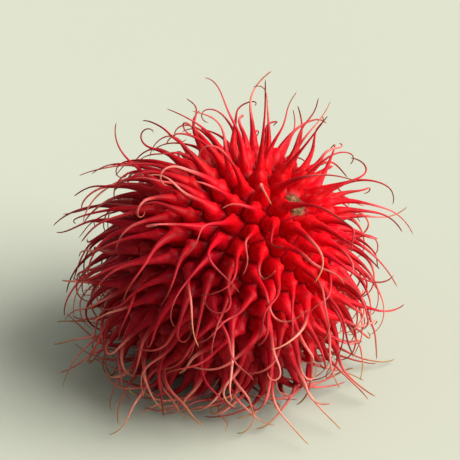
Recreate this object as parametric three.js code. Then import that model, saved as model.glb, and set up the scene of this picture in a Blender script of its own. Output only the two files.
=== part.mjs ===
// A rambutan, picked, resting on a small flat spot of its rind.
//
// Millimetres, +Z up. The origin is the middle of the flat spot, and the stem end leans towards +X.
// The fruit is one grown skin, so it is one closed mesh: an egg-shaped rind divided into areoles, each
// areole rising into the soft spine that grows from it, a corky scar at the stem end, a small point
// where the flower's style was, and the flat spot.

import * as THREE from 'three';
import { ConvexHull } from 'three/addons/math/ConvexHull.js';

// Rind
const RIND_LENGTH = 47;
const RIND_WIDTH = 42;
const LEAN = THREE.MathUtils.degToRad(36);

// Flat spot, and how far past its edge the nearest other groove corners keep
const SPOT_RADIUS = 6;
const SPOT_MARGIN = 0.8;

// Scar of the stalk: a raised corky rim round a shallow dimple
const SCAR_RADIUS = 2.6;
const SCAR_FOOT_RADIUS = 2.3;
const SCAR_FOOT_HEIGHT = 0.1;
const SCAR_RIM_RADIUS = 1.6;
const SCAR_RIM_HEIGHT = 0.65;
const SCAR_DIMPLE_RADIUS = 0.9;
const SCAR_DIMPLE_HEIGHT = 0.3;

// Point left by the style
const STYLE_RADIUS = 1.5;
const STYLE_HEIGHT = 1.2;

// Areoles: how many places the spiral has for them, how unevenly it turns, how much of the room that
// an areole asks for it has to find free of the special ones, and how high it rises
const SPIRAL_PLACES = 390;
const SPIRAL_UNEVENNESS = 0.12;
const FREE_SHARE = 0.8;
const CROWDING = 1.12;
const AREOLE_HEIGHT = 1.2;

// Spines
const SPINE_LENGTH = 17.5;
const SPINE_LENGTH_SPREAD = 3;
const SPINE_SIDES = 3;
const SPINE_STATIONS = [0, 0.22, 0.48, 0.75, 1];
const SPINE_RADII = [1.4, 0.65, 0.38, 0.25];

// Under the fruit the roots of the spines are slimmer, down to this radius at the flat spot
const LOW_ROOT_RADIUS = 0.45;
const LOW_ROOT_HEIGHT = 10;

// What bends a spine: its weight, and the way that the rind grew from the stem. Where the two pull
// square to the rind they bend it least. The angles are in radians from the rind's outward direction.
const DROOP_BY_WEIGHT = 0.75;
const DROOP_FROM_STEM = 0.55;
const START_TILT = 0.25;
const START_TILT_DROOP = 0.2;
const BEND = 0.35;
const BEND_DROOP = 0.75;
const BEND_SPREAD = 0.45;
const SIDEWAYS_SPREAD = 0.8;

// Under the fruit: the level of the lowest spine, how much higher each millimetre of rind above it
// grows its spines past, how far above its level a spine starts to flatten out, and how far up the
// rind the spines are splayed outwards
const FLOOR_GAP = 0.1;
const FLOOR_LEVEL = 0.7;
const LEVEL_RISE = 0.3;
const LANDING = 5;
const STEEPEST = 0.98;
const SPLAY_HEIGHT = 12;

// Clear space that spines keep, and how they give way to each other
const SPINE_GAP = 0.4;
const RIND_GAP = 0.8;
const FIRST_STRETCH_GIVE = 0.5;
const CROWD_GIVE = 0.25;
const CROSSING = 0.01;
const EASING_ROUNDS = 90;
const SPACING_ROUNDS = 40;

const RADIUS_ACROSS = RIND_WIDTH / 2;
const RADIUS_ALONG = RIND_LENGTH / 2;
const GOLDEN_ANGLE = Math.PI * (3 - Math.sqrt(5));
const LEAN_AXIS = new THREE.Vector3(0, 1, 0);
const STEM_AXIS = new THREE.Vector3(Math.sin(LEAN), 0, Math.cos(LEAN));
const DROOP_PULL = new THREE.Vector3(0, 0, -DROOP_BY_WEIGHT).addScaledVector(STEM_AXIS, -DROOP_FROM_STEM);

// Half the height of the leaning rind, and where its lowest point lies before it is set down.
const HALF_HEIGHT = Math.hypot(RADIUS_ACROSS * Math.sin(LEAN), RADIUS_ALONG * Math.cos(LEAN));
const LOWEST_X = ((RADIUS_ACROSS ** 2 - RADIUS_ALONG ** 2) * Math.sin(LEAN) * Math.cos(LEAN)) / HALF_HEIGHT;
const SPOT_DEPTH = SPOT_RADIUS ** 2 / (2 * HALF_HEIGHT);
const CENTRE = new THREE.Vector3(-LOWEST_X, 0, HALF_HEIGHT - SPOT_DEPTH);

// Directions of the three special areoles, on a unit sphere whose +Z is the stem end.
const STEM_SITE = new THREE.Vector3(0, 0, 1);
const STYLE_SITE = new THREE.Vector3(0, 0, -1);
const REST_SITE = new THREE.Vector3(
  (RADIUS_ACROSS * Math.sin(LEAN)) / HALF_HEIGHT,
  0,
  (-RADIUS_ALONG * Math.cos(LEAN)) / HALF_HEIGHT,
);

// A number from 0 to 1, the same on every run, for one draw of one spine.
function chance(spine, draw) {
  let h = Math.imul(spine + 1, 0x9e3779b1) ^ Math.imul(draw + 1, 0x85ebca6b);
  h = Math.imul(h ^ (h >>> 15), 0x2c1b3c6d);
  h = Math.imul(h ^ (h >>> 12), 0x297a2d39);
  return ((h ^ (h >>> 15)) >>> 0) / 2 ** 32;
}

// The same, spread evenly from -1 to 1.
function spread(spine, draw) {
  return 2 * chance(spine, draw) - 1;
}

// A direction on the unit sphere as a point of the rind, before it leans.
function onRind(direction) {
  return new THREE.Vector3(
    direction.x * RADIUS_ACROSS,
    direction.y * RADIUS_ACROSS,
    direction.z * RADIUS_ALONG,
  );
}

// Leans a vector with the fruit.
function lean(vector) {
  return vector.clone().applyAxisAngle(LEAN_AXIS, LEAN);
}

function place(direction) {
  return lean(onRind(direction)).add(CENTRE);
}

function outward(direction) {
  const normal = new THREE.Vector3(
    direction.x / RADIUS_ACROSS,
    direction.y / RADIUS_ACROSS,
    direction.z / RADIUS_ALONG,
  );
  return lean(normal).normalize();
}

// Where the areoles sit: an even spiral from end to end, which then spreads out so that every spine
// has the same room and the special areoles have theirs.
function makeSites() {
  const rindArea = 4 * Math.PI * (RADIUS_ACROSS ** 2 * RADIUS_ALONG) ** (2 / 3);
  const room = CROWDING * Math.sqrt(rindArea / SPIRAL_PLACES);
  const special = [
    { direction: STEM_SITE, kind: 'scar', room: SCAR_RADIUS + room / 2 },
    { direction: STYLE_SITE, kind: 'style', room: STYLE_RADIUS + room / 2 },
    { direction: REST_SITE, kind: 'rest', room: SPOT_RADIUS + room / 2 },
  ];
  const spines = [];
  for (let i = 0; i < SPIRAL_PLACES; i += 1) {
    const z = 1 - (2 * i + 1) / SPIRAL_PLACES;
    const turn = i * GOLDEN_ANGLE + SPIRAL_UNEVENNESS * spread(i, 0);
    const across = Math.sqrt(1 - z * z);
    const direction = new THREE.Vector3(across * Math.cos(turn), across * Math.sin(turn), z);
    const point = onRind(direction);
    if (special.every((s) => point.distanceTo(onRind(s.direction)) > FREE_SHARE * s.room)) {
      spines.push({ direction, kind: 'spine', room, number: i });
    }
  }
  for (let round = 0; round < SPACING_ROUNDS; round += 1) {
    const points = spines.map((s) => onRind(s.direction));
    const fixed = special.map((s) => onRind(s.direction));
    spines.forEach((site, i) => {
      const push = new THREE.Vector3();
      const crowd = (point, distanceWanted) => {
        const away = points[i].clone().sub(point);
        const distance = away.length();
        if (distance < distanceWanted && distance > 0) {
          push.addScaledVector(away, (CROWD_GIVE * (distanceWanted - distance)) / distance);
        }
      };
      points.forEach((point, j) => {
        if (j !== i) {
          crowd(point, room);
        }
      });
      fixed.forEach((point, j) => crowd(point, special[j].room));
      const moved = points[i].clone().add(push);
      site.next = new THREE.Vector3(
        moved.x / RADIUS_ACROSS,
        moved.y / RADIUS_ACROSS,
        moved.z / RADIUS_ALONG,
      ).normalize();
    });
    spines.forEach((site) => {
      site.direction = site.next;
    });
  }
  return [...special, ...spines];
}

// The middle line of a spine as it grows, before it gives way to its neighbours: out of the rind, then
// over the way that it droops and a little to one side. Under the fruit it goes outwards instead, over
// the surface that the fruit rests on, and the higher a spine grows the higher it passes.
function growSpine(site) {
  const normal = outward(site.direction);
  const base = place(site.direction);
  const level = FLOOR_LEVEL + LEVEL_RISE * base.z;
  const away = new THREE.Vector3(normal.x, normal.y, 0).normalize();
  const alongAway = away.addScaledVector(normal, -away.dot(normal)).normalize();
  const pull = DROOP_PULL.clone().addScaledVector(normal, -DROOP_PULL.dot(normal));
  const droop = pull.length();
  const along = alongAway.lerp(pull.normalize(), THREE.MathUtils.smoothstep(base.z, 0, SPLAY_HEIGHT));
  along.normalize();
  const side = new THREE.Vector3().crossVectors(normal, along);
  const heading = SIDEWAYS_SPREAD * spread(site.number, 1);
  const over = along.multiplyScalar(Math.cos(heading)).addScaledVector(side, Math.sin(heading));
  const startTilt = START_TILT + START_TILT_DROOP * droop;
  const bend = BEND + BEND_DROOP * droop + BEND_SPREAD * spread(site.number, 2);
  const length = SPINE_LENGTH + SPINE_LENGTH_SPREAD * spread(site.number, 3);
  const points = [base.addScaledVector(normal, Math.min(AREOLE_HEIGHT, base.z / 2))];
  for (let j = 1; j < SPINE_STATIONS.length; j += 1) {
    const middle = (SPINE_STATIONS[j] + SPINE_STATIONS[j - 1]) / 2;
    const tilt = startTilt + bend * middle;
    const step = length * (SPINE_STATIONS[j] - SPINE_STATIONS[j - 1]);
    const direction = normal.clone().multiplyScalar(Math.cos(tilt));
    direction.addScaledVector(over, Math.sin(tilt));
    const steepest = THREE.MathUtils.clamp((level - points[j - 1].z) / LANDING, -STEEPEST, STEEPEST);
    if (direction.z < steepest) {
      direction.z = 0;
      direction.setLength(Math.sqrt(1 - steepest ** 2));
      direction.z = steepest;
    }
    points.push(points[j - 1].clone().addScaledVector(direction, step));
  }
  return { points, length, level };
}

// Moves a point out of the rind, and up to the lowest level that its spine may pass at.
function keepClear(point, level) {
  const local = point.clone().sub(CENTRE).applyAxisAngle(LEAN_AXIS, -LEAN);
  const reach = Math.hypot(
    local.x / (RADIUS_ACROSS + RIND_GAP),
    local.y / (RADIUS_ACROSS + RIND_GAP),
    local.z / (RADIUS_ALONG + RIND_GAP),
  );
  if (reach < 1) {
    point.sub(CENTRE).divideScalar(reach).add(CENTRE);
  }
  point.z = Math.max(point.z, level);
}

// Pushes the ends of two stretches of spine apart where they pass too close.
function partStretches(one, other, wanted) {
  const reach = one.halfLength + other.halfLength + wanted;
  if (one.middle.distanceToSquared(other.middle) > reach ** 2) {
    return;
  }
  const nearOne = new THREE.Vector3();
  const nearOther = new THREE.Vector3();
  const distance = Math.sqrt(one.line.distanceSqToLine3(other.line, nearOne, nearOther));
  if (distance > wanted) {
    return;
  }
  const away = nearOne.clone().sub(nearOther);
  if (distance < CROSSING) {
    away.crossVectors(one.line.delta(new THREE.Vector3()), other.line.delta(new THREE.Vector3()));
  }
  away.setLength((wanted - distance) / 2);
  [[one, nearOne, 1], [other, nearOther, -1]].forEach(([stretch, near, sign]) => {
    const part = near.distanceTo(stretch.line.start) / (2 * stretch.halfLength);
    stretch.startShift.addScaledVector(away, sign * (1 - part));
    stretch.endShift.addScaledVector(away, sign * part);
  });
}

// Spines that come too close give way to each other, to the rind and to the surface below. The foot of
// each stays where it grew, and each keeps its length.
function easeSpines(spines) {
  for (let round = 0; round < EASING_ROUNDS; round += 1) {
    const stretches = [];
    spines.forEach((spine, s) => {
      spine.shifts = spine.points.map(() => new THREE.Vector3());
      for (let j = 1; j < spine.points.length; j += 1) {
        const line = new THREE.Line3(spine.points[j - 1], spine.points[j]);
        stretches.push({
          spine: s,
          line,
          middle: line.getCenter(new THREE.Vector3()),
          halfLength: line.distance() / 2,
          radius: (SPINE_RADII[j - 1] + (SPINE_RADII[j] ?? 0)) / 2,
          startShift: spine.shifts[j - 1],
          endShift: spine.shifts[j],
        });
      }
    });
    stretches.forEach((one, a) => {
      stretches.slice(a + 1).forEach((other) => {
        if (one.spine !== other.spine) {
          partStretches(one, other, one.radius + other.radius + SPINE_GAP);
        }
      });
    });
    spines.forEach((spine) => {
      for (let j = 1; j < spine.points.length; j += 1) {
        const point = spine.points[j];
        const before = spine.points[j - 1];
        point.addScaledVector(spine.shifts[j], j === 1 ? FIRST_STRETCH_GIVE : 1);
        keepClear(point, spine.level);
        const step = spine.length * (SPINE_STATIONS[j] - SPINE_STATIONS[j - 1]);
        point.sub(before).setLength(step).add(before);
        point.z = Math.max(point.z, spine.level);
      }
    });
  }
}

// Faces of the fruit, as they are added.
const vertices = [];
const triangles = [];

function addVertex(point) {
  vertices.push(point.x, point.y, point.z);
  return vertices.length / 3 - 1;
}

// Angle of a point round a site, seen from outside.
function angleRound(point, middle, right, up) {
  const offset = point.clone().sub(middle);
  return Math.atan2(offset.dot(up), offset.dot(right));
}

// Joins two closed rings that go the same way round the same middle, the outer one first. Each ring is
// a list of { vertex, angle } in rising angle.
function joinRings(outer, inner) {
  const turnAt = (ring, k) => ring[k % ring.length].angle + 2 * Math.PI * Math.floor(k / ring.length);
  let start = 0;
  while (start < inner.length - 1 && inner[start].angle < outer[0].angle) {
    start += 1;
  }
  let i = 0;
  let j = start;
  const shift = inner[start].angle < outer[0].angle ? 2 * Math.PI : 0;
  while (i < outer.length || j < start + inner.length) {
    const outerVertex = outer[i % outer.length].vertex;
    const innerVertex = inner[j % inner.length].vertex;
    const outerFirst =
      j >= start + inner.length ||
      (i < outer.length && turnAt(outer, i + 1) <= turnAt(inner, j + 1) + shift);
    if (outerFirst) {
      i += 1;
      triangles.push(outerVertex, outer[i % outer.length].vertex, innerVertex);
    } else {
      j += 1;
      triangles.push(outerVertex, inner[j % inner.length].vertex, innerVertex);
    }
  }
}

function closeRing(ring, tip) {
  ring.forEach((entry, k) => {
    triangles.push(entry.vertex, ring[(k + 1) % ring.length].vertex, tip);
  });
}

// A ring with as many corners as the cell's outline, at a radius and height over the cell's middle.
function concentricRing(cell, radius, height) {
  return cell.corners.map(({ angle }) => {
    const point = cell.middle.clone();
    point.addScaledVector(cell.right, radius * Math.cos(angle));
    point.addScaledVector(cell.up, radius * Math.sin(angle));
    point.addScaledVector(cell.normal, height);
    return { vertex: addVertex(point), angle };
  });
}

function addScar(cell) {
  const foot = concentricRing(cell, SCAR_FOOT_RADIUS, SCAR_FOOT_HEIGHT);
  const rim = concentricRing(cell, SCAR_RIM_RADIUS, SCAR_RIM_HEIGHT);
  const dimple = concentricRing(cell, SCAR_DIMPLE_RADIUS, SCAR_DIMPLE_HEIGHT);
  joinRings(cell.corners, foot);
  joinRings(foot, rim);
  joinRings(rim, dimple);
  closeRing(dimple, addVertex(cell.middle.clone().addScaledVector(cell.normal, SCAR_DIMPLE_HEIGHT)));
}

function addStyle(cell) {
  const neck = concentricRing(cell, STYLE_RADIUS / 2, STYLE_HEIGHT / 2);
  joinRings(cell.corners, neck);
  closeRing(neck, addVertex(cell.middle.clone().addScaledVector(cell.normal, STYLE_HEIGHT)));
}

// The flat spot, with one triangle of it round the origin.
function addSpot(cell) {
  const middle = [0, 1, 2].map((k) => {
    const angle = (2 * Math.PI * (k - 1)) / 3;
    const point = new THREE.Vector3();
    point.addScaledVector(cell.right, (SPOT_RADIUS / 2) * Math.cos(angle));
    point.addScaledVector(cell.up, (SPOT_RADIUS / 2) * Math.sin(angle));
    return { vertex: addVertex(point.setZ(0)), angle };
  });
  joinRings(cell.corners, middle);
  triangles.push(...middle.map(({ vertex }) => vertex));
}

// One spine: rings square to its middle line, turned as little as possible from one to the next.
function addSpine(cell, points) {
  const fullRoot = THREE.MathUtils.smoothstep(cell.middle.z, 0, LOW_ROOT_HEIGHT);
  const rootRadius = THREE.MathUtils.lerp(LOW_ROOT_RADIUS, SPINE_RADII[0], fullRoot);
  let right = cell.right.clone();
  let outer = cell.corners;
  for (let j = 0; j < points.length - 1; j += 1) {
    const before = points[Math.max(j - 1, 0)];
    const heading = j === 0 ? cell.normal.clone() : points[j + 1].clone().sub(before).normalize();
    right.addScaledVector(heading, -right.dot(heading)).normalize();
    const up = new THREE.Vector3().crossVectors(heading, right);
    const radius = j === 0 ? rootRadius : SPINE_RADII[j];
    const ring = [];
    for (let k = 0; k < SPINE_SIDES; k += 1) {
      const angle = -Math.PI + (2 * Math.PI * (k + 0.5)) / SPINE_SIDES;
      const point = points[j].clone();
      point.addScaledVector(right, radius * Math.cos(angle));
      point.addScaledVector(up, radius * Math.sin(angle));
      point.z = Math.max(point.z, FLOOR_GAP);
      ring.push({ vertex: addVertex(point), angle });
    }
    joinRings(outer, ring);
    outer = ring;
  }
  closeRing(outer, addVertex(points[points.length - 1]));
}

// A point near the flat spot, moved to this distance from the spot's middle and onto the rind there.
function settle(point, reach) {
  const height = (reach ** 2 - SPOT_RADIUS ** 2) / (2 * HALF_HEIGHT);
  return new THREE.Vector3(point.x, point.y, 0).setLength(reach).setZ(height);
}

// Divides the rind into one cell round each site. The corners where three cells meet are shared.
function makeCells(sites) {
  const hull = new ConvexHull().setFromPoints(sites.map((s) => s.direction));
  const cells = sites.map((site) => ({ site, meeting: [] }));
  const byPoint = new Map(sites.map((site, i) => [site.direction, cells[i]]));
  hull.faces.forEach((face) => {
    const around = [];
    let edge = face.edge;
    do {
      around.push(byPoint.get(edge.head().point));
      edge = edge.next;
    } while (edge !== face.edge);
    const grown = place(face.normal.clone().normalize());
    let point = grown;
    if (around.some((cell) => cell.site.kind === 'rest')) {
      point = settle(grown, SPOT_RADIUS);
    } else if (grown.z < HALF_HEIGHT && Math.hypot(grown.x, grown.y) < SPOT_RADIUS + SPOT_MARGIN) {
      point = settle(grown, SPOT_RADIUS + SPOT_MARGIN);
    }
    const vertex = addVertex(point);
    around.forEach((cell) => cell.meeting.push({ vertex, grown }));
  });
  cells.forEach((cell) => {
    cell.normal = outward(cell.site.direction);
    cell.middle = place(cell.site.direction);
    const anyWay = Math.abs(cell.normal.y) < 0.9 ? new THREE.Vector3(0, 1, 0) : new THREE.Vector3(1, 0, 0);
    cell.right = anyWay.addScaledVector(cell.normal, -anyWay.dot(cell.normal)).normalize();
    cell.up = new THREE.Vector3().crossVectors(cell.normal, cell.right);
    cell.corners = cell.meeting.map(({ vertex, grown }) => ({
      vertex,
      angle: angleRound(grown, cell.middle, cell.right, cell.up),
    }));
    cell.corners.sort((one, other) => one.angle - other.angle);
  });
  return cells;
}

function makeFruit() {
  const cells = makeCells(makeSites());
  const spineCells = cells.filter((cell) => cell.site.kind === 'spine');
  const spines = spineCells.map((cell) => growSpine(cell.site));
  easeSpines(spines);
  cells.forEach((cell) => {
    if (cell.site.kind === 'scar') {
      addScar(cell);
    } else if (cell.site.kind === 'style') {
      addStyle(cell);
    } else if (cell.site.kind === 'rest') {
      addSpot(cell);
    }
  });
  spineCells.forEach((cell, i) => addSpine(cell, spines[i].points));

  const geometry = new THREE.BufferGeometry();
  geometry.setAttribute('position', new THREE.Float32BufferAttribute(vertices, 3));
  geometry.setIndex(triangles);
  geometry.computeVertexNormals();
  return geometry;
}

const rindSkin = new THREE.MeshStandardMaterial({ color: 0xb01222, roughness: 0.5, metalness: 0 });
const rambutan = new THREE.Mesh(makeFruit(), rindSkin);
rambutan.name = 'rambutan';

const fruit = new THREE.Group();
fruit.add(rambutan);

export default fruit;
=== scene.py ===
# A rambutan, resting on a pale floor: the fine surface of the fruit, round the CAD node "rambutan".
import math

import bmesh
import bpy
import numpy as np
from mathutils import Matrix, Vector, kdtree, noise


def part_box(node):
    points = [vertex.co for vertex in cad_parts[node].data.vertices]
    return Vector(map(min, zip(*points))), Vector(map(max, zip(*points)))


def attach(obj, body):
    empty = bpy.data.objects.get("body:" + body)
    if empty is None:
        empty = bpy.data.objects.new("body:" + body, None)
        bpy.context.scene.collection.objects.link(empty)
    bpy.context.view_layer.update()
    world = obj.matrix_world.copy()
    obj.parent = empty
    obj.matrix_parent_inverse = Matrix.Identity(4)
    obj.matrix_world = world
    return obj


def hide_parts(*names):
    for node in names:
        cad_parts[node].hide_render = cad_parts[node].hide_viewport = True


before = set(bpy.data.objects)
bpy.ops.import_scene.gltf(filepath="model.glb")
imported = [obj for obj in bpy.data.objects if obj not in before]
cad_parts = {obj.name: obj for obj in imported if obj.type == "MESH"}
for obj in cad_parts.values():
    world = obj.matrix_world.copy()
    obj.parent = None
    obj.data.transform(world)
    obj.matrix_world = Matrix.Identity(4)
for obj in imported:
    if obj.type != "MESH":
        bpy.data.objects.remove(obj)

# The offsets of noise.noise_vector come from the clock unless a seed other than 0 is set.
NOISE_SEED = 1
noise.seed_set(NOISE_SEED)

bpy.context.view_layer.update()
MM = 0.001

# ---------------------------------------------------------------------------------------------------
# Driving values. Lengths are in millimetres until the mesh is made, as in the CAD, and the rind, its
# lean, its flat spot and the places of its areoles are the CAD's own.

RADIUS_ACROSS = 21.0
RADIUS_ALONG = 23.5
LEAN = math.radians(36)
SPOT_RADIUS = 6.0
SCAR_RADIUS = 2.6
STYLE_RADIUS = 1.5

SPIRAL_PLACES = 390
SPIRAL_UNEVENNESS = 0.12
FREE_SHARE = 0.8
CROWDING = 1.12
CROWD_GIVE = 0.25
SPACING_ROUNDS = 40

SPINE_LENGTH = 17.5
SPINE_LENGTH_SPREAD = 3.0
DROOP_BY_WEIGHT = 0.75
DROOP_FROM_STEM = 0.55
START_TILT = 0.25
START_TILT_DROOP = 0.2
BEND = 0.35
BEND_DROOP = 0.75
BEND_SPREAD = 0.45
SIDEWAYS_SPREAD = 0.8
FLOOR_LEVEL = 0.7
LEVEL_RISE = 0.3
LANDING = 5.0
STEEPEST = 0.98
SPLAY_HEIGHT = 12.0

# How much the level that a spine passes the floor at varies, and the level and the stretch, as shares of
# the spine, where its tip comes down to the floor.
LEVEL_SPREAD = 0.8
TIP_LEVEL = 0.25
TIP_LANDS = (0.35, 0.95)

# Neighbouring spines head and bend alike: by how many radians, and over what distance.
HEADING_FLOW = 0.9
HEADING_FLOW_SIZE = 9
BEND_FLOW = 0.4
BEND_FLOW_SIZE = 11

# The fine surface of a spine: its stretches, the sides of its thick part and of its hair, and where the
# hair starts.
STRETCHES = 26
THICK_SIDES = 9
HAIR_SIDES = 5
HAIR_FROM = 9

# Half the width of a spine at its root and its tip. Between them it is the sum of a flare at the root, a
# shank and an even taper, each a share of the root's, with the reach of the first two along the spine.
ROOT_RADIUS = 1.4
TIP_RADIUS = 0.1
FLARE, FLARE_REACH = 0.5, 0.06
SHANK, SHANK_REACH = 0.3, 0.3
TAPER = 0.2
THICKNESS_SPREAD = 0.2
LUMPINESS = 0.12
LUMPS_ALONG = 9
LUMPS_APART = 1.7
SECTION_WIDTH = 1.12
SECTION_THICKNESS = 0.9
LOWEST_SKIN = 0.05

# Under the fruit the roots are slimmer: full from this height up, and down to this share at the floor.
LOW_ROOT_SHARE = 0.3
LOW_ROOT_HEIGHT = 10.0

# Easing: the clear space that spines keep from each other, from the rind and from the floor, the widest
# neighbour that is looked for, how much of a shortfall is made up in a round, how the push is smoothed
# along a spine, how many stations stay where they grew, and where the rest come free.
SHORTEST_GAP = 0.3
RIND_GAP = 0.5
FLOOR_GAP = 0.12
TIP_FLOOR_GAP = 0.15
WIDEST_NEIGHBOUR = 0.7
EASING_GIVE = 0.6
EASING_ROUNDS = 50
SMOOTHING_PASSES = 3
FIXED_STATIONS = 2
COMES_FREE = (0.04, 0.3)
COMES_DOWN = (0.3, 1.0)

# How a spine curls, in radians. One whose luck passes LOOP_CHANCE closes into a loop, and the others
# hook, most of them a little. Then come where along it the curl starts, which way it goes, how it twists,
# and how it waves.
LOOP_CHANCE = 0.9
HOOK = 2.0
HOOK_RARITY = 1.6
LOOP = 3.4
LOOP_SPREAD = 1.6
HOOK_FROM = 0.3
LOOP_FROM = 0.45
CURL_FROM_SPREAD = 0.15
CURL_WAY_SPREAD = 1.1
FORWARD_CHANCE = 0.8
TWIST = 1.2
WAVE = 0.4
WAVE_TURNS = 0.8
MORE_WAVE_TURNS = 1.1

# The grooves between areoles: how deep, how they wander as directions, and the scale of both.
GROOVE = 0.15
GROOVE_WANDER = 0.012
GROOVE_WANDER_SCALE = 0.8
GROOVE_DEPTH_SPREAD = 0.5
GROOVE_DEPTH_SCALE = 0.9
PRESSED_AREOLES = 6
PRESSED_RADIUS = 4.0
PRESSED_NUMBERS = 1000

# How dry a spine is: at the top, how much more low down, how much it varies, and between what heights.
DRY_AT_TOP = 0.25
DRY_LOW_DOWN = 0.5
DRY_SPREAD = 0.35
DRY_HEIGHTS = (4, 26)

# How deep a red an areole is, from none at the stem end to full at the style end, in uneven patches: partly
# the fruit's own deeper red, partly painted shade on the lower side, away from the light.
DEEP_RED_AND_SHADE_SPAN = (-0.85, 0.1)
DEEP_RED_AND_SHADE_UNEVENNESS = 0.5
DEEP_RED_AND_SHADE_PATCH = 12

HALF_HEIGHT = math.hypot(RADIUS_ACROSS * math.sin(LEAN), RADIUS_ALONG * math.cos(LEAN))
LOWEST_X = (RADIUS_ACROSS**2 - RADIUS_ALONG**2) * math.sin(LEAN) * math.cos(LEAN) / HALF_HEIGHT
SPOT_DEPTH = SPOT_RADIUS**2 / (2 * HALF_HEIGHT)
CENTRE = np.array([-LOWEST_X, 0.0, HALF_HEIGHT - SPOT_DEPTH])
RADII = np.array([RADIUS_ACROSS, RADIUS_ACROSS, RADIUS_ALONG])
LEAN_TURN = np.array(
    [
        [math.cos(LEAN), 0, math.sin(LEAN)],
        [0, 1, 0],
        [-math.sin(LEAN), 0, math.cos(LEAN)],
    ]
)
STEM_AXIS = LEAN_TURN[:, 2]
STEM_SITE = np.array([0.0, 0.0, 1.0])
STYLE_SITE = np.array([0.0, 0.0, -1.0])
REST_SITE = np.array([RADIUS_ACROSS * math.sin(LEAN), 0.0, -RADIUS_ALONG * math.cos(LEAN)]) / HALF_HEIGHT
GOLDEN_ANGLE = math.pi * (3 - math.sqrt(5))
UP = np.array([0.0, 0.0, 1.0])


# ---------------------------------------------------------------------------------------------------
# Small helpers

def chance(number, draw):
    """A number from 0 to 1, the same on every run, for one draw of one spine."""
    mask = 0xFFFFFFFF
    h = (((number + 1) * 0x9E3779B1) ^ ((draw + 1) * 0x85EBCA6B)) & mask
    h = ((h ^ (h >> 15)) * 0x2C1B3C6D) & mask
    h = ((h ^ (h >> 12)) * 0x297A2D39) & mask
    return (h ^ (h >> 15)) / 2**32


def chances(numbers, draw):
    return np.array([chance(n, draw) for n in numbers])


def spreads(numbers, draw):
    """The same, spread evenly from -1 to 1."""
    return 2 * chances(numbers, draw) - 1


def unit(vectors):
    return vectors / np.maximum(np.linalg.norm(vectors, axis=-1, keepdims=True), 1e-12)


def dot(a, b):
    return (a * b).sum(axis=-1, keepdims=True)


def across(vectors, normals):
    """The part of each vector that is square to its normal, at length 1."""
    return unit(vectors - normals * dot(vectors, normals))


def smoothstep(x, low, high):
    t = np.clip((x - low) / (high - low), 0, 1)
    return t * t * (3 - 2 * t)


def place(directions):
    """Directions on a unit sphere whose +Z is the stem end, as points of the leaning rind."""
    return (directions * RADII) @ LEAN_TURN.T + CENTRE


def outward(directions):
    return unit((directions / RADII) @ LEAN_TURN.T)


def direction_of(points):
    """The opposite of place, for points near the rind."""
    return unit(((points - CENTRE) @ LEAN_TURN) / RADII)


# ---------------------------------------------------------------------------------------------------
# Areoles: where they sit, and the outline of each

def make_sites():
    """The CAD's areoles: an even spiral that has spread out to give each its room. Returns the directions
    of the spine-bearing ones with their numbers in the spiral."""
    rind_area = 4 * math.pi * (RADIUS_ACROSS**2 * RADIUS_ALONG) ** (2 / 3)
    room = CROWDING * math.sqrt(rind_area / SPIRAL_PLACES)
    fixed = np.array([STEM_SITE, STYLE_SITE, REST_SITE]) * RADII
    fixed_room = np.array([SCAR_RADIUS, STYLE_RADIUS, SPOT_RADIUS]) + room / 2
    places = np.arange(SPIRAL_PLACES)
    z = 1 - (2 * places + 1) / SPIRAL_PLACES
    turn = places * GOLDEN_ANGLE + SPIRAL_UNEVENNESS * spreads(places, 0)
    ring = np.sqrt(1 - z * z)
    directions = np.stack([ring * np.cos(turn), ring * np.sin(turn), z], axis=1)
    to_fixed = np.linalg.norm((directions * RADII)[:, None] - fixed[None], axis=2)
    free = (to_fixed > FREE_SHARE * fixed_room).all(axis=1)
    directions, numbers = directions[free], places[free]

    def crowd(away, wanted):
        distance = np.linalg.norm(away, axis=2, keepdims=True)
        short = np.clip(wanted - distance, 0, None) * (distance > 0)
        return (away / np.maximum(distance, 1e-9) * short * CROWD_GIVE).sum(axis=1)

    for _ in range(SPACING_ROUNDS):
        points = directions * RADII
        push = crowd(points[:, None] - points[None], room)
        push += crowd(points[:, None] - fixed[None], fixed_room[None, :, None])
        directions = unit((points + push) / RADII)
    return directions, numbers


def pressed_sites():
    """Areoles pressed flat on the spot that the fruit rests on: one in the middle and a ring of them."""
    turns = 2 * math.pi * np.arange(PRESSED_AREOLES) / PRESSED_AREOLES
    ring = np.stack([np.cos(turns), np.sin(turns), 0 * turns], axis=1) * PRESSED_RADIUS
    return direction_of(np.vstack([np.zeros(3), ring]))


def make_cells(directions):
    """Divides the rind into one cell round each site. Returns the corners' directions, and for each site
    the corners round it in turn, seen from outside."""
    mesh = bmesh.new()
    for direction in directions:
        mesh.verts.new(direction)
    mesh.verts.index_update()
    bmesh.ops.convex_hull(mesh, input=mesh.verts[:])
    corners, meeting = [], [[] for _ in directions]
    for face in mesh.faces:
        around = [v.index for v in face.verts]
        a, b, c = (directions[i] for i in around)
        normal = unit(np.cross(b - a, c - a))
        corners.append(normal * np.sign(normal @ (a + b + c)))
        for i in around:
            meeting[i].append(len(corners) - 1)
    mesh.free()
    return np.array(corners), meeting


class Cell:
    """One areole: its middle, its own axes, and its outline as (vertex, angle) in rising angle."""

    def __init__(self, direction, kind, number=0):
        self.kind, self.number = kind, number
        self.middle = place(direction)
        self.normal = outward(direction)
        any_way = np.array([0.0, 1.0, 0.0]) if abs(self.normal[1]) < 0.9 else np.array([1.0, 0.0, 0.0])
        self.right = across(any_way, self.normal)
        self.up = np.cross(self.normal, self.right)

    def angle(self, point):
        offset = point - self.middle
        return math.atan2(offset @ self.up, offset @ self.right)

    def at(self, angle, radius, height):
        turned = self.right * math.cos(angle) + self.up * math.sin(angle)
        return self.middle + turned * radius + self.normal * height


# ---------------------------------------------------------------------------------------------------
# Spines: how they grow, and how they give way to each other

def flow(points, size, seed):
    """A smooth unevenness from -1 to 1 over the fruit, so that neighbouring spines bend alike."""
    return np.array([noise.noise(Vector(p / size) + Vector((seed, 0, 0))) for p in points])


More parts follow.
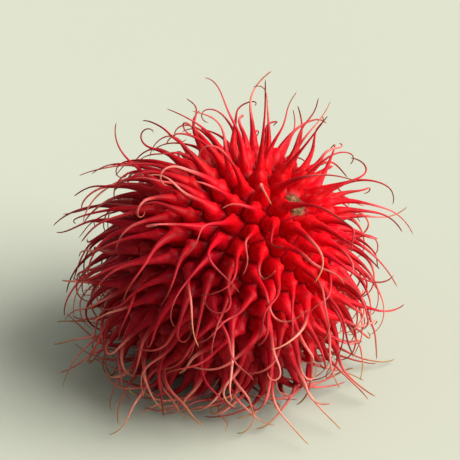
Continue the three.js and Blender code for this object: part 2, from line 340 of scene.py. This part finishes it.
def grow_spines(cells, root_height):
    """The middle lines of the spines, (spine, station, xyz), with the length of each and the level that it
    passes the floor at."""
    numbers = [c.number for c in cells]
    base = np.array([c.middle for c in cells])
    normal = np.array([c.normal for c in cells])
    pull = -DROOP_BY_WEIGHT * UP - DROOP_FROM_STEM * STEM_AXIS
    pull = pull - normal * dot(normal, pull)
    droop = np.linalg.norm(pull, axis=1)
    along_away = across(unit(normal * [1, 1, 0]), normal)
    splay = 1 - smoothstep(base[:, 2:], 0, SPLAY_HEIGHT)
    along = unit(unit(pull) * (1 - splay) + along_away * splay)
    side = np.cross(normal, along)
    heading = SIDEWAYS_SPREAD * spreads(numbers, 1) + HEADING_FLOW * flow(base, HEADING_FLOW_SIZE, seed=3)
    over = along * np.cos(heading)[:, None] + side * np.sin(heading)[:, None]
    start_tilt = (START_TILT + START_TILT_DROOP * droop)[:, None]
    bend = BEND + BEND_DROOP * droop + BEND_SPREAD * spreads(numbers, 2)
    bend = bend + BEND_FLOW * flow(base, BEND_FLOW_SIZE, seed=7)
    length = SPINE_LENGTH + SPINE_LENGTH_SPREAD * spreads(numbers, 3)
    level = FLOOR_LEVEL + LEVEL_RISE * base[:, 2] * (1 + LEVEL_SPREAD * spreads(numbers, 16))

    luck = chances(numbers, 4)
    looped = luck > LOOP_CHANCE
    hook = HOOK * (luck / LOOP_CHANCE) ** HOOK_RARITY
    curl = np.where(looped, LOOP + LOOP_SPREAD * chances(numbers, 5), hook)
    curl_way = CURL_WAY_SPREAD * spreads(numbers, 6) + math.pi * (chances(numbers, 15) > FORWARD_CHANCE)
    curl_from = np.where(looped, LOOP_FROM, HOOK_FROM) + CURL_FROM_SPREAD * spreads(numbers, 7)
    twist = TWIST * spreads(numbers, 8)
    wave = WAVE * chances(numbers, 9)
    wave_turns = WAVE_TURNS + MORE_WAVE_TURNS * chances(numbers, 10)
    wave_start = 2 * math.pi * chances(numbers, 11)

    heading_now = unit(normal * np.cos(start_tilt) + over * np.sin(start_tilt))
    bending = across(over, heading_now)
    points = [base + normal * np.minimum(root_height, base[:, 2:] / 2)]
    step = length / STRETCHES
    share = 1 / STRETCHES
    for j in range(STRETCHES):
        t = (j + 0.5) * share
        curled = np.clip((t - curl_from) / (1 - curl_from), 0, 1)
        curl_now = 2 * curl * curled / (1 - curl_from) * share
        way = curl_way + twist * t
        waving = wave * 2 * math.pi * wave_turns * share * min(1, 2 * t)
        waving = waving * np.cos(2 * math.pi * wave_turns * t + wave_start)
        turn_over = bend * share + curl_now * np.cos(way)
        turn_aside = curl_now * np.sin(way) + waving
        aside = np.cross(heading_now, bending)
        heading_now = unit(heading_now + bending * turn_over[:, None] + aside * turn_aside[:, None])
        level_here = level + (TIP_LEVEL - level) * smoothstep(t, *TIP_LANDS)
        steepest = np.clip((level_here - points[-1][:, 2]) / LANDING, -STEEPEST, STEEPEST)
        low = heading_now[:, 2] < steepest
        flat = unit(heading_now * [1, 1, 0]) * np.sqrt(1 - steepest**2)[:, None]
        heading_now = np.where(low[:, None], flat + UP * steepest[:, None], heading_now)
        bending = across(bending, heading_now)
        points.append(points[-1] + heading_now * step[:, None])
    return np.stack(points, axis=1), length, level


def spine_radii(cells):
    """Half the width of each spine at each station: a fleshy root that thins into a long hair."""
    numbers = [c.number for c in cells]
    heights = np.array([c.middle[2] for c in cells])
    full = LOW_ROOT_SHARE + (1 - LOW_ROOT_SHARE) * smoothstep(heights, 0, LOW_ROOT_HEIGHT)
    t = np.linspace(0, 1, STRETCHES + 1)[None]
    thick = (1 + THICKNESS_SPREAD * spreads(numbers, 12))[:, None]
    body = FLARE * np.exp(-t / FLARE_REACH) + SHANK * np.exp(-((t / SHANK_REACH) ** 2)) + TAPER * (1 - t)
    rows = [n * LUMPS_APART for n in numbers]
    lumps = np.array([[noise.noise(Vector((row, s * LUMPS_ALONG, 0))) for s in t[0]] for row in rows])
    body = body * full[:, None]
    return (TIP_RADIUS + (ROOT_RADIUS - TIP_RADIUS) * body) * thick * (1 + LUMPINESS * lumps)


def keep_clear(points, radii):
    """Moves points out of the rind and out of the floor."""
    local = (points - CENTRE) @ LEAN_TURN
    reach = np.linalg.norm(local / (RADII + RIND_GAP + radii[..., None]), axis=-1, keepdims=True)
    points = np.where(reach < 1, (points - CENTRE) / np.maximum(reach, 1e-6) + CENTRE, points)
    points[..., 2] = np.maximum(points[..., 2], 0.0)
    return points


def ease_spines(points, length, level, radii):
    """Spines that come too close give way to each other, to the rind and to the floor. The foot of each
    stays where it grew, and each keeps its length, but for what lifts it off the floor."""
    stations = points.shape[1]
    step = (length / STRETCHES)[:, None]
    t = np.linspace(0, 1, stations)
    freedom = smoothstep(t, *COMES_FREE)[None, :, None]
    droop = smoothstep(t, *COMES_DOWN)[None]
    lowest = level[:, None] * (1 - droop) + (radii + TIP_FLOOR_GAP) * droop
    lowest = np.maximum(lowest, radii + FLOOR_GAP)
    for _ in range(EASING_ROUNDS):
        flat = points.reshape(-1, 3)
        thick = radii.reshape(-1)
        tree = kdtree.KDTree(len(flat))
        for i, point in enumerate(flat):
            tree.insert(point, i)
        tree.balance()
        push = np.zeros_like(flat)
        for i, point in enumerate(flat):
            if i % stations < FIXED_STATIONS:
                continue
            for near, j, distance in tree.find_range(point, thick[i] + WIDEST_NEIGHBOUR + SHORTEST_GAP):
                wanted = thick[i] + thick[j] + SHORTEST_GAP
                if i // stations != j // stations and 0 < distance < wanted:
                    push[i] += (point - np.array(near)) * (EASING_GIVE * (wanted - distance) / distance)
        push = push.reshape(points.shape)
        for _ in range(SMOOTHING_PASSES):
            push[:, 1:-1] = (push[:, :-2] + 2 * push[:, 1:-1] + push[:, 2:]) / 4
        points = keep_clear(points + push * freedom, radii)
        for j in range(1, stations):
            before = points[:, j - 1]
            after = before + unit(points[:, j] - before) * step
            short = np.clip(lowest[:, j] - after[:, 2], 0, None)
            after[:, 2] += short * freedom[0, j, 0]
            points[:, j] = after
    return points


def carry_axes(points, first):
    """Axes square to each spine at each station, turned as little as possible from one to the next."""
    ahead = np.empty_like(points)
    ahead[:, 1:-1] = unit(points[:, 2:] - points[:, :-2])
    ahead[:, 0] = ahead[:, 1]
    ahead[:, -1] = unit(points[:, -1] - points[:, -2])
    right = np.empty_like(points)
    right[:, 0] = across(first, ahead[:, 0])
    for j in range(1, points.shape[1]):
        right[:, j] = across(right[:, j - 1], ahead[:, j])
    return right, np.cross(ahead, right)


# ---------------------------------------------------------------------------------------------------
# The mesh

class FruitMesh:
    """Vertices with their values, and faces with their place on the map. Each cell has one strip of the
    map: round the cell goes across the strip, and from its outline to its tip goes up it."""

    COLUMNS = 65
    ROWS = 6
    SIDE_MARGIN = 0.13
    END_MARGIN = 0.02
    # deep is a darker red away from the stem end: partly the fruit's own colour, partly painted shade on
    # the side away from the light.
    VALUES = ("areole", "spine", "tone", "dry", "deep", "cork")

    def __init__(self):
        self.points, self.values = [], {name: [] for name in self.VALUES}
        self.faces, self.spots = [], []
        self.strip = 0
        self.groove_vertices = 0

    def vertex(self, point, **values):
        self.points.append(point)
        for name in self.VALUES:
            self.values[name].append(values.get(name, 0.0))
        return len(self.points) - 1

    def face(self, corners):
        """Corners are (vertex, turns round the cell, share of the way up the strip)."""
        column, row = self.strip % self.COLUMNS, self.strip // self.COLUMNS
        self.faces.append([c[0] for c in corners])
        for _, turns, way_up in corners:
            u = (column + self.SIDE_MARGIN + (1 - 2 * self.SIDE_MARGIN) * turns) / self.COLUMNS
            v = (row + self.END_MARGIN + (1 - 2 * self.END_MARGIN) * way_up) / self.ROWS
            self.spots.append((u, v))

    @staticmethod
    def turned(ring, k, zero):
        """A vertex of a ring that may have gone round more than once, with its turns from zero."""
        vertex, angle = ring[k % len(ring)]
        return vertex, (angle - zero) / (2 * math.pi) + k // len(ring)

    def join_equal(self, outer, inner, outer_up, inner_up, zero):
        """Joins two rings with as many (vertex, angle) each, the outer one first."""
        for k in range(len(outer)):
            a, b = self.turned(outer, k, zero), self.turned(outer, k + 1, zero)
            c, d = self.turned(inner, k + 1, zero), self.turned(inner, k, zero)
            self.face([(*a, outer_up), (*b, outer_up), (*c, inner_up), (*d, inner_up)])

    def join_rings(self, outer, inner, outer_up, inner_up, zero):
        """Joins two rings with different numbers of (vertex, angle), the outer one first."""
        start = next((k for k, entry in enumerate(inner) if entry[1] >= outer[0][1]), len(inner))
        i, j = 0, start
        while i < len(outer) or j < start + len(inner):
            a, b = self.turned(outer, i, zero), self.turned(inner, j, zero)
            next_a, next_b = self.turned(outer, i + 1, zero), self.turned(inner, j + 1, zero)
            spent = j >= start + len(inner)
            if spent or (i < len(outer) and next_a[1] <= next_b[1]):
                self.face([(*a, outer_up), (*next_a, outer_up), (*b, inner_up)])
                i += 1
            else:
                self.face([(*a, outer_up), (*next_b, inner_up), (*b, inner_up)])
                j += 1

    def close(self, ring, tip, ring_up, zero):
        for k in range(len(ring)):
            a, b = self.turned(ring, k, zero), self.turned(ring, k + 1, zero)
            self.face([(*a, ring_up), (*b, ring_up), (tip, (a[1] + b[1]) / 2, 1.0)])

    def build(self, name):
        mesh = bpy.data.meshes.new(name)
        mesh.from_pydata(np.array(self.points) * MM, [], self.faces)
        for value_name, values in self.values.items():
            layer = mesh.attributes.new(value_name, "FLOAT", "POINT")
            layer.data.foreach_set("value", values)
        layer = mesh.uv_layers.new(name="OFBake")
        layer.data.foreach_set("uv", np.array(self.spots).ravel())
        mesh.polygons.foreach_set("use_smooth", [True] * len(mesh.polygons))
        for edge in mesh.edges:
            edge.use_edge_sharp = max(edge.vertices) < self.groove_vertices
        mesh.update()
        mesh.validate()
        piece = bpy.data.objects.new(name, mesh)
        bpy.context.scene.collection.objects.link(piece)
        return piece


# Rings of an areole from its outline to the root of its spine: how far up its strip of the map, how
# much of the way in from the outline is left, and the height over the rind. The scar's and the style's
# are radius and height, and the pressed areoles' have one height. Bark is the scar's uneven surface.
AREOLE_RINGS = ((0.05, 0.8, 0.1), (0.09, 0.55, 0.3), (0.13, 0.32, 0.65), (0.17, 0.12, 1.1))
ROOT_UP = 0.21
ROOT_HEIGHT = 1.6
SCAR_RINGS = (
    (2.3, 0.05), (2.0, 0.3), (1.75, 0.6), (1.45, 0.7), (1.15, 0.55), (0.85, 0.3), (0.6, 0.2), (0.3, 0.25),
)
STYLE_RINGS = ((1.15, 0.1), (0.7, 0.35), (0.42, 0.75), (0.3, 1.25))
PRESSED_RINGS = ((0.1, 0.86), (0.3, 0.6), (0.6, 0.3))
PRESSED_HEIGHT = 0.3
BARK_SCALE = 0.9
BARK_RING_STEP = 0.7


def outline_cells(fruit, cells, corners, meeting):
    """Makes the outline of each cell, in the groove between areoles, and gives it to the cells that meet
    there: the corners, and two more vertices along each edge."""
    corner_points = place(corners)

    def groove_vertex(direction):
        wander = noise.noise_vector(Vector(place(direction) * GROOVE_WANDER_SCALE))
        direction = unit(direction + GROOVE_WANDER * np.array(wander))
        point = place(direction)
        depth = GROOVE * (1 + GROOVE_DEPTH_SPREAD * noise.noise(Vector(point * GROOVE_DEPTH_SCALE)))
        point = point - outward(direction) * depth
        point[2] = max(point[2], depth)
        return fruit.vertex(point)

    corner_vertices = [groove_vertex(direction) for direction in corners]
    edges = {}
    for cell, around in zip(cells, meeting):
        around = sorted(around, key=lambda c: cell.angle(corner_points[c]))
        ring = []
        for k, corner in enumerate(around):
            following = around[(k + 1) % len(around)]
            pair = (min(corner, following), max(corner, following))
            if pair not in edges:
                ends = corners[pair[0]], corners[pair[1]]
                thirds = [unit(ends[0] * (1 - s) + ends[1] * s) for s in (1 / 3, 2 / 3)]
                edges[pair] = [groove_vertex(direction) for direction in thirds]
            between = edges[pair] if corner == pair[0] else edges[pair][::-1]
            ring += [corner_vertices[corner], *between]
        angles = [cell.angle(fruit.points[v]) for v in ring]
        first = angles.index(min(angles))
        in_turn = list(zip(ring, angles))
        cell.outline = in_turn[first:] + in_turn[:first]


def ring_inside(fruit, cell, inner_radius, left, height, **values):
    """A ring with as many vertices as the outline, part of the way in from it to a circle."""
    ring = []
    for vertex, angle in cell.outline:
        offset = fruit.points[vertex] - cell.middle
        radius = math.hypot(offset @ cell.right, offset @ cell.up)
        drop = offset @ cell.normal + GROOVE
        point = cell.at(angle, inner_radius + (radius - inner_radius) * left, height + drop * left)
        point[2] = max(point[2], 0.0)
        ring.append(fruit.vertex(point, **values))
    return ring


def add_spine_cell(fruit, cell, line, radii, right, up):
    """An areole that rises into its spine."""
    tone, dry, deep = cell.tone, cell.dry, cell.deep
    zero = cell.outline[0][1]
    below, below_up = cell.outline, 0.0
    # An areole close to the floor rises only half of the way down to it, as its spine's root does.
    room = min(1.0, cell.middle[2] / (2 * ROOT_HEIGHT))
    for way_up, left, height in AREOLE_RINGS:
        looks = {"areole": way_up / ROOT_UP, "tone": tone, "dry": dry, "deep": deep}
        ring = ring_inside(fruit, cell, radii[0], left, height * room, **looks)
        ring = [(v, a) for v, (_, a) in zip(ring, cell.outline)]
        fruit.join_equal(below, ring, below_up, way_up, zero)
        below, below_up = ring, way_up
    for j in range(STRETCHES):
        t = j / STRETCHES
        way_up = ROOT_UP + (1 - ROOT_UP) * t
        sides = THICK_SIDES if j < HAIR_FROM else HAIR_SIDES
        ring = []
        for k in range(sides):
            angle = -math.pi + 2 * math.pi * (k + 0.5) / sides
            wide = SECTION_WIDTH * radii[j] * math.cos(angle)
            thick = SECTION_THICKNESS * radii[j] * math.sin(angle)
            point = line[j] + right[j] * wide + up[j] * thick
            point[2] = max(point[2], LOWEST_SKIN)
            ring.append((fruit.vertex(point, areole=1.0, spine=t, tone=tone, dry=dry, deep=deep), angle))
        join = fruit.join_rings if j in (0, HAIR_FROM) else fruit.join_equal
        join(below, ring, below_up, way_up, zero)
        below, below_up = ring, way_up
    tip = fruit.vertex(line[-1], areole=1.0, spine=1.0, tone=tone, dry=dry, deep=deep)
    fruit.close(below, tip, below_up, zero)


def add_ringed_cell(fruit, cell, rings, top, roughness, cork):
    """A cell of rings round its middle, such as the scar: (radius, height) from the outline in."""
    zero = cell.outline[0][1]
    below, below_up = cell.outline, 0.0
    for k, (radius, height) in enumerate(rings):
        way_up = (k + 1) / (len(rings) + 1)
        ring = []
        for _, angle in cell.outline:
            where = Vector((math.cos(angle) * radius, math.sin(angle) * radius, k * BARK_RING_STEP))
            uneven = noise.noise(where * BARK_SCALE)
            point = cell.at(angle, radius * (1 + roughness * uneven), height * (1 + 2 * roughness * uneven))
            ring.append((fruit.vertex(point, areole=1.0, cork=cork), angle))
        fruit.join_equal(below, ring, below_up, way_up, zero)
        below, below_up = ring, way_up
    fruit.close(below, fruit.vertex(cell.at(0, 0, top), areole=1.0, cork=cork), below_up, zero)


def add_pressed_cell(fruit, cell):
    """An areole pressed flat on the floor."""
    zero = cell.outline[0][1]
    below, below_up = cell.outline, 0.0
    for way_up, left in PRESSED_RINGS:
        looks = {"areole": way_up, "tone": cell.tone, "deep": cell.deep}
        ring = ring_inside(fruit, cell, 0.0, left, PRESSED_HEIGHT, **looks)
        ring = [(v, a) for v, (_, a) in zip(ring, cell.outline)]
        fruit.join_equal(below, ring, below_up, way_up, zero)
        below, below_up = ring, way_up
    middle = cell.middle.copy()
    middle[2] = 0.0
    fruit.close(below, fruit.vertex(middle, areole=1.0, tone=cell.tone, deep=cell.deep), below_up, zero)


def make_fruit():
    directions, numbers = make_sites()
    pressed = pressed_sites()
    cells = [Cell(d, "spine", int(n)) for d, n in zip(directions, numbers)]
    cells += [Cell(d, "pressed", PRESSED_NUMBERS + k) for k, d in enumerate(pressed)]
    cells += [Cell(STEM_SITE, "scar"), Cell(STYLE_SITE, "style")]
    sites = np.vstack([directions, pressed, STEM_SITE, STYLE_SITE])
    corners, meeting = make_cells(sites)

    fruit = FruitMesh()
    outline_cells(fruit, cells, corners, meeting)
    fruit.groove_vertices = len(fruit.points)
    for cell in cells:
        cell.tone = chance(cell.number, 13)
        low = 1 - smoothstep(cell.middle[2], *DRY_HEIGHTS)
        dry = DRY_AT_TOP + DRY_LOW_DOWN * low + DRY_SPREAD * (2 * chance(cell.number, 14) - 1)
        cell.dry = float(np.clip(dry, 0, 1))
        # Darker red away from the stem end: partly the fruit's own colour, partly painted shade on the side
        # that the key light misses.
        uneven = DEEP_RED_AND_SHADE_UNEVENNESS * noise.noise(Vector(cell.middle / DEEP_RED_AND_SHADE_PATCH))
        cell.deep = smoothstep(-cell.normal @ STEM_AXIS + uneven, *DEEP_RED_AND_SHADE_SPAN)

    growing = [c for c in cells if c.kind == "spine"]
    radii = spine_radii(growing)
    lines, length, level = grow_spines(growing, ROOT_HEIGHT)
    lines = ease_spines(lines, length, level, radii)
    right, up = carry_axes(lines, np.array([c.right for c in growing]))
    for k, cell in enumerate(growing):
        add_spine_cell(fruit, cell, lines[k], radii[k], right[k], up[k])
        fruit.strip += 1
    for cell in cells:
        if cell.kind == "pressed":
            add_pressed_cell(fruit, cell)
        elif cell.kind == "scar":
            add_ringed_cell(fruit, cell, SCAR_RINGS, top=0.35, roughness=0.2, cork=1.0)
        elif cell.kind == "style":
            add_ringed_cell(fruit, cell, STYLE_RINGS, top=1.6, roughness=0.1, cork=0.7)
        else:
            continue
        fruit.strip += 1
    return fruit.build("rambutan_fruit")


# ---------------------------------------------------------------------------------------------------
# Materials

class Nodes:
    """A material's node tree, with short calls to add to it."""

    def __init__(self, name):
        self.material = bpy.data.materials.new(name)
        self.material.use_nodes = True
        self.tree = self.material.node_tree
        self.shader = self.tree.nodes["Principled BSDF"]

    def add(self, kind, **settings):
        node = self.tree.nodes.new(kind)
        for name, value in settings.items():
            setattr(node, name, value)
        return node

    def link(self, source, target):
        self.tree.links.new(source, target)

    def feed(self, socket, value):
        if isinstance(value, bpy.types.NodeSocket):
            self.link(value, socket)
        else:
            socket.default_value = value

    def value(self, name):
        """A value that the mesh holds at each vertex."""
        return self.add("ShaderNodeAttribute", attribute_name=name).outputs["Fac"]

    def math(self, operation, a, b=0.0):
        node = self.add("ShaderNodeMath", operation=operation)
        self.feed(node.inputs[0], a)
        self.feed(node.inputs[1], b)
        return node.outputs[0]

    def span(self, value, low, high, to_low=0.0, to_high=1.0):
        node = self.add("ShaderNodeMapRange", interpolation_type="SMOOTHSTEP")
        for socket, given in zip(node.inputs, (value, low, high, to_low, to_high)):
            self.feed(socket, given)
        return node.outputs[0]

    def noise(self, scale, detail=3.0, roughness=0.55):
        where = self.add("ShaderNodeTexCoord").outputs["Object"]
        node = self.add("ShaderNodeTexNoise")
        self.link(where, node.inputs["Vector"])
        node.inputs["Scale"].default_value = scale
        node.inputs["Detail"].default_value = detail
        node.inputs["Roughness"].default_value = roughness
        return node.outputs["Fac"]

    def streaks(self, across, along):
        """Noise drawn out along each spine: this many streaks across a strip of the map, and along it."""
        strips = self.add("ShaderNodeUVMap", uv_map="OFBake").outputs["UV"]
        finer = self.add("ShaderNodeVectorMath", operation="MULTIPLY")
        self.link(strips, finer.inputs[0])
        finer.inputs[1].default_value = (FruitMesh.COLUMNS * across, FruitMesh.ROWS * along, 1.0)
        node = self.add("ShaderNodeTexNoise")
        self.link(finer.outputs[0], node.inputs["Vector"])
        node.inputs["Scale"].default_value = 1.0
        return node.outputs["Fac"]

    def mix(self, factor, a, b, blend="MIX"):
        node = self.add("ShaderNodeMix", data_type="RGBA", blend_type=blend)
        self.feed(node.inputs[0], factor)
        self.feed(node.inputs[6], a)
        self.feed(node.inputs[7], b)
        return node.outputs[2]

    def bump(self, height, distance, strength=1.0, below=None):
        node = self.add("ShaderNodeBump")
        self.link(height, node.inputs["Height"])
        node.inputs["Distance"].default_value = distance
        node.inputs["Strength"].default_value = strength
        if below is not None:
            self.link(below, node.inputs["Normal"])
        return node.outputs["Normal"]


def srgb(red, green, blue):
    """A colour given as it looks on a screen, from 0 to 255, as the shader wants it."""
    def linear(c):
        c = c / 255
        return c / 12.92 if c <= 0.04045 else ((c + 0.055) / 1.055) ** 2.4
    return (linear(red), linear(green), linear(blue), 1.0)


def rind_material():
    """Waxy crimson skin: bright at the root of each spine, darker in the grooves (partly the creased skin's
    own colour, partly painted shade between the roots), a darker red away from the stem end (partly its
    own, partly painted shade on the side away from the light), and drying to salmon, tan and olive along
    the hair."""
    n = Nodes("rambutan_rind")
    spine, areole = n.value("spine"), n.value("areole")
    tone, dry, deep, cork = n.value("tone"), n.value("dry"), n.value("deep"), n.value("cork")
    broad = n.noise(60.0, 2.0)
    fine = n.noise(900.0, 4.0, 0.6)
    streaks = n.streaks(18.0, 5.0)

    bright = n.mix(tone, srgb(205, 2, 14), srgb(236, 6, 30))
    bright = n.mix(n.span(broad, 0.35, 0.65), bright, srgb(186, 2, 12))
    # Towards the style end the root takes a darker red: partly the fruit's own deeper colour, partly
    # painted shade on the side away from the light.
    root = n.mix(deep, bright, n.mix(tone, srgb(138, 2, 11), srgb(162, 5, 28)))
    # Painted shade, in part: the groove between areoles is darker, partly the creased skin's own colour,
    # partly standing in for the shade between the spines' roots.
    skin = n.mix(n.span(areole, 0.0, 0.8), n.mix(deep, srgb(138, 2, 10), srgb(112, 1, 7)), root)
    middle = n.mix(tone, srgb(152, 3, 13), srgb(184, 8, 29))
    # Darker shank towards the style end: partly its own red, partly painted shade.
    middle = n.mix(deep, middle, n.mix(tone, srgb(124, 4, 15), srgb(154, 8, 26)))
    skin = n.mix(n.span(spine, 0.08, 0.32), skin, middle)
    fresh_hair = n.mix(tone, srgb(200, 36, 50), srgb(246, 92, 102))
    # Darker fresh hair towards the style end: partly its own red, partly painted shade.
    fresh_hair = n.mix(deep, fresh_hair, n.mix(tone, srgb(162, 30, 38), srgb(220, 74, 82)))
    dry_hair = n.mix(tone, srgb(180, 74, 70), srgb(240, 146, 130))
    hair = n.mix(n.span(dry, 0.15, 0.6), fresh_hair, dry_hair)
    haired = n.span(n.math("ADD", spine, n.math("MULTIPLY", dry, 0.16)), 0.34, 0.68)
    haired = n.math("MULTIPLY", haired, n.span(dry, 0.0, 0.5, 0.4, 1.0))
    skin = n.mix(haired, skin, hair)
    olive = n.mix(fine, srgb(120, 110, 36), srgb(166, 148, 78))
    dried = n.math("MULTIPLY", n.span(spine, 0.5, 1.0), n.span(dry, 0.3, 0.9))
    skin = n.mix(dried, skin, olive)
    brown = n.math("MULTIPLY", n.span(spine, 0.5, 0.92), n.span(dry, 0.15, 0.7, 0.9, 0.15))
    skin = n.mix(brown, skin, n.mix(tone, srgb(70, 22, 18), srgb(120, 52, 38)))
    bark = n.mix(n.span(fine, 0.35, 0.7), srgb(58, 32, 20), srgb(124, 88, 56))
    skin = n.mix(cork, skin, bark)
    mottle = n.span(fine, 0.3, 0.75, 0.86, 1.08)
    mottle = n.math("MULTIPLY", mottle, n.span(streaks, 0.3, 0.7, 0.86, 1.08))
    shade = n.add("ShaderNodeCombineColor")
    for socket in shade.inputs[:3]:
        n.link(mottle, socket)
    skin = n.mix(1.0, skin, shade.outputs[0], "MULTIPLY")
    n.link(skin, n.shader.inputs["Base Color"])

    waxy = n.math("ADD", n.span(spine, 0.2, 1.0, 0.4, 0.58), n.span(fine, 0.3, 0.7, -0.05, 0.08))
    n.link(n.math("ADD", waxy, n.math("MULTIPLY", cork, 0.3)), n.shader.inputs["Roughness"])
    n.shader.inputs["Subsurface Weight"].default_value = 0.25
    n.shader.inputs["Subsurface Radius"].default_value = (1.0, 0.22, 0.14)
    n.shader.inputs["Subsurface Scale"].default_value = 0.0016
    n.shader.inputs["IOR"].default_value = 1.4
    n.shader.inputs["Specular IOR Level"].default_value = 0.16

    wrinkles = n.bump(n.noise(1500.0, 3.0), 0.00012, 0.5)
    ribs = n.bump(streaks, 0.00025, 0.5, wrinkles)
    n.link(n.bump(n.noise(420.0, 2.0), 0.0003, 0.5, ribs), n.shader.inputs["Normal"])
    return n.material


def floor_material():
    n = Nodes("studio_floor")
    cloud = n.noise(6.0, 2.0)
    n.link(n.mix(cloud, srgb(164, 167, 153), srgb(169, 172, 158)), n.shader.inputs["Base Color"])
    n.shader.inputs["Roughness"].default_value = 0.9
    n.shader.inputs["Specular IOR Level"].default_value = 0.0
    return n.material


# ---------------------------------------------------------------------------------------------------
# Floor, light and camera

def make_floor():
    mesh = bpy.data.meshes.new("floor")
    half = 3.0
    corners = [(-half, -half, 0), (half, -half, 0), (half, half, 0), (-half, half, 0)]
    mesh.from_pydata(corners, [], [(0, 1, 2, 3)])
    floor = bpy.data.objects.new("floor", mesh)
    bpy.context.scene.collection.objects.link(floor)
    mesh.materials.append(floor_material())


def aim(thing, target):
    thing.rotation_euler = (Vector(target) - thing.location).to_track_quat("-Z", "Y").to_euler()


def around(target, azimuth, elevation, distance):
    a, e = math.radians(azimuth), math.radians(elevation)
    back = Vector((math.sin(a) * math.cos(e), -math.cos(a) * math.cos(e), math.sin(e)))
    return Vector(target) + back * distance


def add_soft_light(name, azimuth, elevation, spread, strength, colour):
    """A soft box far away: the spread is the angle, in degrees, that it fills as seen from the fruit."""
    light = bpy.data.lights.new(name, "SUN")
    light.angle = math.radians(spread)
    light.energy = strength
    light.color = colour
    lamp = bpy.data.objects.new(name, light)
    lamp.location = around((0, 0, 0), azimuth, elevation, 1.0)
    aim(lamp, (0, 0, 0))
    bpy.context.scene.collection.objects.link(lamp)
    return lamp


def make_world():
    """A dim studio all round, with a backdrop behind it as pale as the floor looks."""
    world = bpy.data.worlds.new("studio")
    world.use_nodes = True
    tree = world.node_tree
    dim = tree.nodes["Background"]
    dim.inputs["Color"].default_value = (0.93, 0.95, 0.9, 1.0)
    dim.inputs["Strength"].default_value = 0.42
    backdrop = tree.nodes.new("ShaderNodeBackground")
    backdrop.inputs["Color"].default_value = srgb(225, 229, 207)
    seen = tree.nodes.new("ShaderNodeLightPath").outputs["Is Camera Ray"]
    either = tree.nodes.new("ShaderNodeMixShader")
    tree.links.new(seen, either.inputs[0])
    tree.links.new(dim.outputs[0], either.inputs[1])
    tree.links.new(backdrop.outputs[0], either.inputs[2])
    tree.links.new(either.outputs[0], tree.nodes["World Output"].inputs["Surface"])
    bpy.context.scene.world = world


CAMERA_AZIMUTH = 22
CAMERA_ELEVATION = 35
CAMERA_DISTANCE = 0.55
FRUIT_SHARE_OF_FRAME = 0.76
SENSOR = 36.0


def make_camera_and_lights():
    low, high = (Vector(c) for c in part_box("rambutan"))
    target = (low + high) / 2
    width = (high - low).length / math.sqrt(3)
    camera = bpy.data.cameras.new("camera")
    camera.sensor_width = SENSOR
    camera.lens = SENSOR * CAMERA_DISTANCE * FRUIT_SHARE_OF_FRAME / width
    holder = bpy.data.objects.new("camera", camera)
    holder.location = around(target, CAMERA_AZIMUTH, CAMERA_ELEVATION, CAMERA_DISTANCE)
    aim(holder, target)
    bpy.context.scene.collection.objects.link(holder)
    bpy.context.scene.camera = holder

    warm, cool = (1.0, 0.98, 0.95), (0.93, 0.96, 1.0)
    add_soft_light("key", CAMERA_AZIMUTH + 84, elevation=36, spread=56, strength=7.7, colour=warm)
    top = add_soft_light("top", CAMERA_AZIMUTH + 150, elevation=60, spread=50, strength=0.5, colour=cool)
    top.visible_glossy = False
    make_world()
    bpy.context.scene.view_settings.view_transform = "Standard"


make_floor()
fruit = make_fruit()
fruit.data.materials.append(rind_material())
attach(fruit, "root")
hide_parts("rambutan")
make_camera_and_lights()
